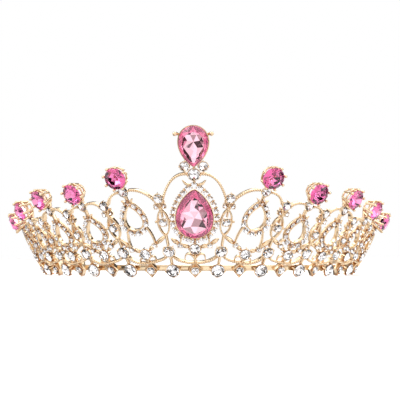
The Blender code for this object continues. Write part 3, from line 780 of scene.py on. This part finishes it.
# %% Cups and small stones
KNEE = (4.5, 2.6)
CENTRE_KNEE = (5.3, 9.8)
QUARTER = math.pi / 4
CUP_INSIDE = 0.92
MAIN_STONE, MIDDLE_STONE, PAIR_STONE = 3.4, 3.0, 4.2
CLEAR_STONE, KITE_STONE, TINY_STONE = 3.5, 3.0, 1.9
TINY_SPOT = (1.35, -3.0)
# A cup's foot stays this far behind the drawing, and is this far from the girdle at full height
CUP_BEHIND, CUP_REACH = 0.75, 1.85
lattice, grains, small_stones, settings, hubs = [], [], [], [], []


def set_cup(station, x, y, stone, middle=0.0, high=1.0, turn=QUARTER):
    """A claw cup for a stone, whose middle is so far out of the flat work."""
    copy_of(claw_cup, station.flat_matrix(x, y, middle, turn, (stone / 2, stone / 2, high)),
            settings)
    hubs.append((station.at(x, y).to_2d(), stone / 2 * CUP_INSIDE))


def set_small(station, x, y, stone, top, turn=0.0):
    """A small stone in its cup. Top is how far its table stands out."""
    radius = stone / 2
    seat = top - radius * SMALL_CROWN
    copy_of(small_clear, station.flat_matrix(x, y, seat, turn, (radius,) * 3), small_stones)
    high = (seat + CUP_BEHIND) / CUP_REACH
    set_cup(station, x, y, stone, seat - high, high, turn)


for unit in units.values():
    station = unit.station
    set_small(station, 0, unit.clear, CLEAR_STONE, top=1.6, turn=QUARTER)
    set_cup(station, 0, unit.round, UNIT_STONE)
    for hand in (-1, 1):
        set_small(station, hand * KNEE[0], unit.round + KNEE[1], TINY_STONE, top=1.2)
for bound in bounds.values():
    station = bound.station
    set_small(station, 0, bound.main, MAIN_STONE, top=1.7, turn=QUARTER)
    set_small(station, 0, bound.middle, MIDDLE_STONE, top=1.6)
    set_small(station, 0, bound.pair, PAIR_STONE, top=1.8)
    set_cup(station, 0, 0, BASE_STONE)
    for hand in (-1, 1):
        set_small(station, hand * TINY_SPOT[0], bound.main + TINY_SPOT[1], TINY_STONE,
                  top=1.1)
set_cup(centre, 0, CENTRE_ROUND, UNIT_STONE)
set_cup(centre, 0, TREFOIL_HEIGHT, TREFOIL_CENTRE)
for hand in (-1, 1):
    set_small(centre, hand * CENTRE_KNEE[0], CENTRE_KNEE[1], TINY_STONE, top=1.2)
    set_cup(centre, hand * TREFOIL_SPREAD, TREFOIL_HEIGHT + TREFOIL_LIFT, TREFOIL_SIDE)
print(len(hubs), "cups")

# %% [markdown]
# ## The lattice
# Every unit has the same wires: an arch from its neck to the motif beside it, arms from its
# round stone, a link up to the loop, a lower arc down to the knot and a pair of small scrolls.
# The arches and arcs carry milgrain on their front edge. The arms are leaves: ribbons that
# swell in the middle.

# %% Wires that stop at the cups
ARCH_WIRE, FINE_WIRE, STEM_WIRE = 0.34, 0.32, 0.5
ARCH_DEPTH, FINE_DEPTH, STEM_DEPTH = 1.0, 0.85, 0.8
GRAIN_OUT = 0.85
WIRE_PITCH = 0.45
FEWEST_POINTS = 3
LEAF_WIDTH, LEAF_TIP, LEAF_SWELL = 0.85, 0.22, 0.8
SCROLL_STEPS, SCROLL_THINNING = 16, 0.45


def between_cups(points):
    """The stretches of a path that lie outside every cup."""
    stretches = [[]]
    for spot in evenly(points, WIRE_PITCH):
        if any((spot.to_2d() - hub).length < reach for hub, reach in hubs):
            stretches.append([])
        else:
            stretches[-1].append(spot)
    return [stretch for stretch in stretches if len(stretch) >= FEWEST_POINTS]


def wire(points, half_width=FINE_WIRE, half_depth=FINE_DEPTH):
    """A plain wire of the lattice."""
    for stretch in between_cups(points):
        ribbon(stretch, half_width, half_depth, lattice)


def stem(station, start, end, out=0.0):
    """A thick wire along a station's own axis."""
    wire([station.at(0, start, out), station.at(0, end, out)], STEM_WIRE, STEM_DEPTH)


def grained(points):
    """A wire with milgrain on its front edge."""
    wire(points, ARCH_WIRE, ARCH_DEPTH)
    for stretch in between_cups(points):
        milgrain(stretch, GRAIN_OUT, grains)


def leaf(points, half_width=LEAF_WIDTH):
    """A pointed leaf along a path, widest in its middle."""
    line = evenly(points, WIRE_PITCH)
    last = len(line) - 1
    swells = [abs(math.sin(math.pi * n / last)) ** LEAF_SWELL for n in range(last + 1)]
    ribbon(line, half_width, FINE_DEPTH, lattice,
           shares=[LEAF_TIP + (1 - LEAF_TIP) * swell for swell in swells])


def scroll(station, foot, reach, height):
    """A scroll that rises from the stem and curls outwards to a thin end."""
    pulls = (1.2, 3.0 * height), (0.4, 3.2 * height)
    shares = [1 - SCROLL_THINNING * (n / SCROLL_STEPS) ** 2 for n in range(SCROLL_STEPS + 1)]
    for hand in (-1, 1):
        line = bow(station.at(0, foot, 0.1), station.at(hand * reach, foot - 0.2, 0.1), pulls,
                   station.right * hand, station.up, steps=SCROLL_STEPS)
        ribbon(line, FINE_WIRE, FINE_DEPTH, lattice, shares=shares)


# %% Wires of the side units
LINK_END = (3.4, 2.2)
CENTRE_KNOT = 2.9
LOOP_WIDTH = 8.9
LOOP_BEAD_OUT = 1.35
# The neck under a gallery: how far it stops from the two stones, and how far back its ends are
NECK_GAP, NECK_BACK, NECK_WIRE = 1.6, (-0.4, -1.4), 0.8
STEM_FOOT = 1.0
LONGEST_STEM = 4.5
# The pulls of each wire's two ends: an arch, the last unit's outer arch, a lower arc, a link
ARCH_PULLS = (5.6, 1.0), (-1.2, 6.0)
END_PULLS = (6.4, 0.8), (5.2, 5.0)
ARC_PULLS = (4.5, -0.4), (-0.8, -2.5)
LINK_PULLS = (1.0, 1.6), (1.0, -1.4)
for (side, index), unit in units.items():
    station = unit.station
    up = station.up
    length = unit.loop_top - unit.loop_bottom + 2 * LOOP_BEAD_OUT
    middle = (unit.loop_top + unit.loop_bottom) / 2
    foot = middle - length / 2
    head = middle + length / 2
    unit.loop = (middle, length)
    ribbon([station.at(0, unit.clear + NECK_GAP, NECK_BACK[0]),
            station.at(0, unit.tip - NECK_GAP, NECK_BACK[1])], NECK_WIRE, NECK_WIRE, lattice)
    stem(station, head - 0.4, unit.clear)
    stem(station, STEM_FOOT, unit.round)
    if foot - unit.round < LONGEST_STEM:
        stem(station, unit.round, foot)
    scroll(station, 3.4, 3.0, 0.8)
    for hand in (-1, 1):
        leaf([station.at(0, head - 0.2, 0.2), station.at(hand * 1.0, head - 0.1, 0.2),
              station.at(hand * 2.3, head + 0.9, 0.2)], 0.42)
    for hand, bound in ((-side, bounds[side, index]), (side, bounds.get((side, index + 1)))):
        right = station.right * hand
        hub = station.at(0, unit.round)
        knee = station.at(hand * KNEE[0], unit.round + KNEE[1])
        leaf([hub.lerp(knee, 0.34), hub.lerp(knee, 0.9)])
        top = station.at(0, unit.clear, 0.1)
        if bound:
            axis = bound.station
            grained(bow(top, axis.at(0, bound.root, -0.1), ARCH_PULLS, right, up, axis.up))
            leaf([knee, axis.at(0, bound.cross)])
            grained(bow(station.at(0, CENTRE_KNOT, -0.15), axis.at(0, bound.pair), ARC_PULLS,
                        right, up))
        else:
            grained(bow(top, station.at(hand * 2.6, 0.2, -0.3), END_PULLS, right, up))
        link_end = station.at(hand * LINK_END[0], foot + LINK_END[1])
        wire(bow(knee, link_end, LINK_PULLS, right, up, steps=12))
print("wires so far:", len(lattice), "and", len(grains), "milgrain lines")

# %% Wires of the boundary motifs
# The crossing wires round a middle stone bow out to a lens, with a ball on each side of it
LENS_HALF = 2.2
LENS_PULLS = (2.6, -2.0), (2.6, 2.0)
LENS_BALL, LENS_BALL_OUT = 0.52, 2.55
for bound in bounds.values():
    station = bound.station
    for hand in (-1, 1):
        right = station.right * hand
        wire(bow(station.at(0, bound.root + 0.2), station.at(0, bound.cross), LENS_PULLS,
                 right, station.up, steps=14))
        leaf([station.at(0, bound.root + 0.4), station.at(hand * 0.9, bound.main - 2.6),
              station.at(hand * 1.9, bound.main - 1.2)], 0.45)
        copy_of(grain, station.flat_matrix(
            hand * LENS_BALL_OUT, bound.middle + 0.3, 0.4, size=(LENS_BALL,) * 3), grains)
    wire([station.at(0, bound.main), station.at(0, bound.middle)])
    stem(station, bound.cross, bound.pair)
    stem(station, 2.3, bound.pair)

# %% [markdown]
# ## The centre
# The big pear stands in a bezel with a halo of small stones, between two arches that carry the
# trefoil and the top pear. Under it an arm runs out to a leaf on each side, and a pair of
# scrolls curls under the round stone.

# %% Wires of the centre unit
# The top pear's claw, foot to tip, as places across, up and out of the flat work
CLAW = [(3.9, 50.1, 0.8), (5.9, 51.5, 2.0), (5.9, 51.5, 3.2)]
CLAW_BALL = (5.9, 51.5, 3.4)
CENTRE_PULLS = (6.2, 1.0), (-2.4, 7.6)
up = centre.up
stem(centre, CENTRE_PEAR + 9.5, TOP_PEAR - 2.0, -1.0)
stem(centre, STEM_FOOT, CENTRE_ROUND)
stem(centre, CENTRE_ROUND, CENTRE_PEAR - 10.0)
scroll(centre, 4.2, 3.6, 1.0)
for hand in (-1, 1):
    right = centre.right * hand
    bound = bounds[hand, 0]
    axis = bound.station
    grained(bow(centre.at(hand * 1.9, TREFOIL_HEIGHT, 0.1), axis.at(0, bound.root, -0.1),
                CENTRE_PULLS, right, up, axis.up, steps=26))
    knee = centre.at(hand * CENTRE_KNEE[0], CENTRE_KNEE[1])
    leaf([centre.at(hand * 1.5, CENTRE_ROUND + 0.3), knee])
    leaf([knee, centre.at(hand * 8.6, CENTRE_ROUND + 3.6)])
    wire([knee, centre.at(hand * 4.7, CENTRE_PEAR - 8.4, 0.05)])
    grained(bow(centre.at(0, CENTRE_KNOT, -0.15), axis.at(0, bound.pair), ARC_PULLS, right,
                up))
    leaf([centre.at(hand * 0.8, CENTRE_PEAR + 10.2, 0.3), centre.at(hand * 2.8, 33.0, 0.3),
          centre.at(hand * 4.1, 34.4, 0.3)], 0.42)
    wire([centre.at(hand * 7.8, CENTRE_PEAR - 3.4),
          axis.at(-hand * LENS_HALF, bound.middle + 0.3)])
    claw = [centre.at(hand * x, y, out) for x, y, out in CLAW]
    ribbon(claw, 0.45, 0.45, lattice, shares=[1.2, 1.0, 0.9])
    across, height, out = CLAW_BALL
    copy_of(grain, centre.flat_matrix(hand * across, height, out, size=(0.8, 0.8, 0.7)), grains)

# %% [markdown]
# ## Teardrop loops and the halo
# A loop is a channel: a smooth inner rim, a floor, a row of small stones, and pairs of grains
# between them that hold the stones. The stones sit evenly along the pear's edge.

# %% Loops of small stones
BEAD_PITCH = 2.1
ROW_STONE, ROW_OUT = 2.0, 0.85
ROW_STEP = 0.5
# How far out of the flat work each ribbon is, with its half width and half depth
FLOOR_OUT, FLOOR_WIRE, FLOOR_DEPTH = -0.4, 0.5, 0.6
RIM_OUT, RIM_WIRE, RIM_DEPTH = 0.05, 0.28, 0.95
RIM_INSET = (2.0, 2.8)
DOT_SIZE, DOT_ASIDE, DOT_OUT = (0.27, 0.27, 0.42), 0.74, 0.8
# A loop's edge is about this many times its width and length together
LOOP_EDGE = 1.28
HALO_STONES, HALO_MARGIN = 22, (2.8, 3.2)


def stone_row(station, width, length, y, count, point=LOOP_POINT, rim=True):
    """A closed row of small stones on a pear's edge, with its channel."""
    path = evenly([station.at(p.x, y + p.y) for p in pear_path(width, length, point)],
                  ROW_STEP, True)
    ribbon([p + Vector((0, 0, FLOOR_OUT)) for p in path], FLOOR_WIRE, FLOOR_DEPTH, lattice,
           closed=True)
    if rim:
        inside = [station.at(p.x, y + p.y, RIM_OUT)
                  for p in pear_path(width - RIM_INSET[0], length - RIM_INSET[1], point)]
        ribbon(evenly(inside, ROW_STEP, True), RIM_WIRE, RIM_DEPTH, lattice, closed=True)
    spots = evenly(path, sum((b - a).length for a, b in zip(path, path[1:])) / count, True)
    for number, spot in enumerate(spots):
        after = spots[(number + 1) % len(spots)]
        copy_of(small_clear, Matrix.Translation(spot + Vector((0, 0, ROW_OUT)))
                @ Matrix.Scale(ROW_STONE / 2, 4), small_stones)
        between = (spot + after) / 2
        outward = (after - spot).cross(Vector((0, 0, 1))).normalized()
        for hand in (-1, 1):
            dot = between + outward * hand * DOT_ASIDE + Vector((0, 0, DOT_OUT))
            copy_of(grain, Matrix.Translation(dot) @ Matrix.Diagonal((*DOT_SIZE, 1)), grains)


for unit in units.values():
    middle, length = unit.loop
    count = 2 * round((LOOP_WIDTH + length) * LOOP_EDGE / BEAD_PITCH / 2)
    stone_row(unit.station, LOOP_WIDTH, length, middle, count)
halo_size = [size + margin for size, margin in zip(CENTRE_PEAR_SIZE, HALO_MARGIN)]
stone_row(centre, *halo_size, CENTRE_PEAR, HALO_STONES, point=STONE_POINT, rim=False)
print("small stones:", len(small_stones))

# %% [markdown]
# ## Kites
# Between the round stones of the base row stand kite settings: a square plate on its corner,
# with its upper and lower corners drawn out, so that a gold rim shows round the stone's cup. The
# lower corner is the drop point that the crown stands on. The plate starts as a cylinder of
# four sides.

# %% The kite settings
KITE_RADIUS, KITE_DEPTH, KITE_TAPER, KITE_STRETCH = 2.8, 1.9, 0.95, 1.21
# A rim, a ledge inside it, and a pit inside that: how wide each is, and how deep
KITE_RIM, LEDGE_DEPTH, LEDGE, PIT_DEPTH = 0.24, 0.2, 0.5, 0.8

bpy.ops.mesh.primitive_cylinder_add(vertices=4, radius=KITE_RADIUS, depth=KITE_DEPTH)
plate = bpy.context.object
alone(plate)
bpy.ops.object.transform_apply()
pick_faces(plate, 1)
bpy.ops.transform.resize(value=(KITE_TAPER, KITE_TAPER, 1))
for width, depth in ((KITE_RIM, LEDGE_DEPTH), (LEDGE, PIT_DEPTH)):
    bpy.ops.mesh.inset(thickness=width)
    push(-depth)
enter('OBJECT')
for vert in plate.data.vertices:
    if abs(vert.co.y) > 1:
        vert.co.y *= KITE_STRETCH
soft = plate.modifiers.new("soft edges", 'BEVEL')
soft.width = 0.12
soft.segments = 2
bpy.ops.object.modifier_apply(modifier="soft edges")
plate.name = "kite_plate"
satin_faces(plate)
kite_plate = as_pattern(plate)
for steps in range(-10, 11, 2):
    station = Station(steps)
    copy_of(kite_plate, station.flat_matrix(0, 0, 0.1), settings)
    set_small(station, 0, 0, KITE_STONE, top=1.8, turn=QUARTER)
print("settings:", len(settings))

# %% [markdown]
# ## Galleries
# Each pink round stands high in a gallery: a small ring below, a wider rail above, and eight
# claws that run from one to the other and end in a ball over the stone's edge.

# %% The gallery
GALLERY_CLAWS = 8
# How far from the gallery's axis, and how high
PRONG_FOOT, PRONG_TOP, PRONG_BALL = (2.5, -1.3), (4.35, 3.3), (4.2, 3.45)

bpy.ops.mesh.primitive_torus_add(
    major_radius=2.5, minor_radius=0.38, major_segments=32, minor_segments=8,
    location=(0, 0, -1.2))
gallery = bpy.context.object
alone(gallery)
enter('EDIT')
bpy.ops.mesh.primitive_torus_add(
    major_radius=3.75, minor_radius=0.33, major_segments=40, minor_segments=8,
    location=(0, 0, 1.7))
for number in range(GALLERY_CLAWS):
    angle = math.tau * (number + 0.5) / GALLERY_CLAWS
    low, high = round_axis(PRONG_FOOT, angle), round_axis(PRONG_TOP, angle)
    lean = (high - low).to_track_quat('Z', 'Y').to_euler()
    bpy.ops.mesh.primitive_cone_add(
        vertices=8, radius1=0.5, radius2=0.36, depth=(high - low).length,
        location=(low + high) / 2, rotation=lean)
    bpy.ops.mesh.primitive_ico_sphere_add(
        subdivisions=2, radius=0.55, location=round_axis(PRONG_BALL, angle), scale=(1, 1, 1.1))
enter('OBJECT')
gallery.name = "gallery"
gallery_pattern = as_pattern(gallery, rose_gold)
galleries = []
for unit in units.values():
    copy_of(gallery_pattern, unit.station.flat_matrix(0, unit.tip), galleries)

# %% [markdown]
# ## Bezels of the pears
# The two pears are held by a thin wall that follows their edge. A pear-shaped face is extruded
# up, drawn in at the foot, and hollowed from above.

# %% Bezels
# Each has its place up the axis, its stone's size and flip, its margin, foot and rim
BEZELS = [
    (CENTRE_PEAR, CENTRE_PEAR_SIZE, 1, 0.35, -0.9, 1.9),
    (TOP_PEAR, TOP_PEAR_SIZE, -1, 0.3, -0.9, 2.1),
]
# The foot as a share of the rim, the pocket's floor as a share of its top
BEZEL_FOOT, BEZEL_POCKET = 0.8, 0.7
BEZEL_WALL, BEZEL_FLOOR = 0.3, 0.25
for y, size, flip, margin, foot, rim in BEZELS:
    width, length = (measure + 2 * margin for measure in size)
    ring = pear_path(width, length, STONE_POINT, 48, flip)
    bpy.ops.mesh.primitive_circle_add(vertices=len(ring), radius=1.0, fill_type='NGON')
    wall = bpy.context.object
    alone(wall)
    for vert, spot in zip(wall.data.vertices, ring):
        vert.co = spot * BEZEL_FOOT + Vector((0, 0, foot))
    enter('EDIT')
    bpy.ops.mesh.select_all(action='SELECT')
    push(rim - foot, 1 / BEZEL_FOOT)
    bpy.ops.mesh.inset(thickness=BEZEL_WALL)
    push(foot - rim + BEZEL_FLOOR, BEZEL_POCKET)
    bpy.ops.mesh.select_all(action='SELECT')
    bpy.ops.mesh.normals_make_consistent(inside=False)
    enter('OBJECT')
    satin_faces(wall)
    wall.data.transform(centre.flat_matrix(0, y))
    settings.append(wall)

# %% [markdown]
# ## The headband
# A plain strip behind the base row, which runs on bare to both ends and rises a little. It is
# a long grid, bent to its place, given its thickness by Solidify and soft edges by Bevel. Each
# end carries a ring of flat wire, which is a torus pressed flat.

# %% The headband
STRIP_HEIGHT, STRIP_BACK, STRIP_FRONT = 2.2, -1.5, -0.7
STRIP_END = math.radians(112.5)
STRIP_STEPS = 160
STRIP_RISE, RISE_START = 1.9, math.radians(70.0)
PLATE_EXTRA = 1.8
PLATE_RISES = math.radians(60.0), math.radians(65.0)
PLATE_FALLS = math.radians(66.0), math.radians(80.0)
LOOP_RADIUS, LOOP_WIRE, LOOP_FLATNESS = 5.0, 0.95, 0.55
# A loop stands off by this share of its reach, so that it laps over the strip
LOOP_LAP = 0.78
SOFT_EDGE = 0.18


def smooth_step(value, start, end):
    """Goes gently from 0 at the start to 1 at the end."""
    share = min(max((value - start) / (end - start), 0.0), 1.0)
    return share * share * (3 - 2 * share)


bpy.ops.mesh.primitive_grid_add(x_subdivisions=STRIP_STEPS, y_subdivisions=1, size=2.0)
strip = bpy.context.object
alone(strip)
for vert in strip.data.vertices:
    around = abs(vert.co.x * STRIP_END)
    # Behind the last unit the strip is a broader plate, which tapers to the strip's own width
    broad = smooth_step(around, *PLATE_RISES) * (1 - smooth_step(around, *PLATE_FALLS))
    height = STRIP_HEIGHT + PLATE_EXTRA * broad
    rise = STRIP_RISE * smooth_step(around, RISE_START, STRIP_END)
    angle = vert.co.x * STRIP_END * math.sin(FLARE)
    slant = CONE_SLANT + vert.co.y * height / 2 + rise
    vert.co = (slant * math.sin(angle), slant * math.cos(angle) - CONE_SLANT, STRIP_BACK)
thick = strip.modifiers.new("thickness", 'SOLIDIFY')
thick.thickness = STRIP_FRONT - STRIP_BACK
thick.offset = 1.0
bpy.ops.object.modifier_apply(modifier="thickness")
soft = strip.modifiers.new("soft edges", 'BEVEL')
soft.width = SOFT_EDGE
soft.segments = 3
soft.limit_method = 'ANGLE'
bpy.ops.object.modifier_apply(modifier="soft edges")
strip.data.materials.append(rose_gold)
band = [strip]
reach = (STRIP_HEIGHT / 2 + LOOP_RADIUS) / (RING_RADIUS + STRIP_RISE)
for side in (-1, 1):
    angle = side * (STRIP_END + reach * LOOP_LAP) * math.sin(FLARE)
    slant = CONE_SLANT + STRIP_RISE
    bpy.ops.mesh.primitive_torus_add(
        major_radius=LOOP_RADIUS, minor_radius=LOOP_WIRE, major_segments=64, minor_segments=16)
    ring = bpy.context.object
    place = Vector((slant * math.sin(angle), slant * math.cos(angle) - CONE_SLANT,
                    (STRIP_BACK + STRIP_FRONT) / 2))
    ring.data.transform(Matrix.Translation(place) @ Matrix.Diagonal((1, 1, LOOP_FLATNESS, 1)))
    ring.data.materials.append(rose_gold)
    band.append(ring)

# %% [markdown]
# ## Rolling and finishing
# The flat work is joined into pieces by what they are, rolled onto the cone, smoothed, and put
# on the crown's one body.

# %% The finished pieces
for name, parts in (("headband", band), ("lattice", lattice), ("milgrain", grains),
                    ("settings", settings), ("galleries", galleries),
                    ("small_stones", small_stones)):
    piece = joined(parts, name)
    roll(piece)
    finish_piece(piece, "clear_glass" if name == "small_stones" else "gold_plate", "frame")

# %% Sizes
low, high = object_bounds()
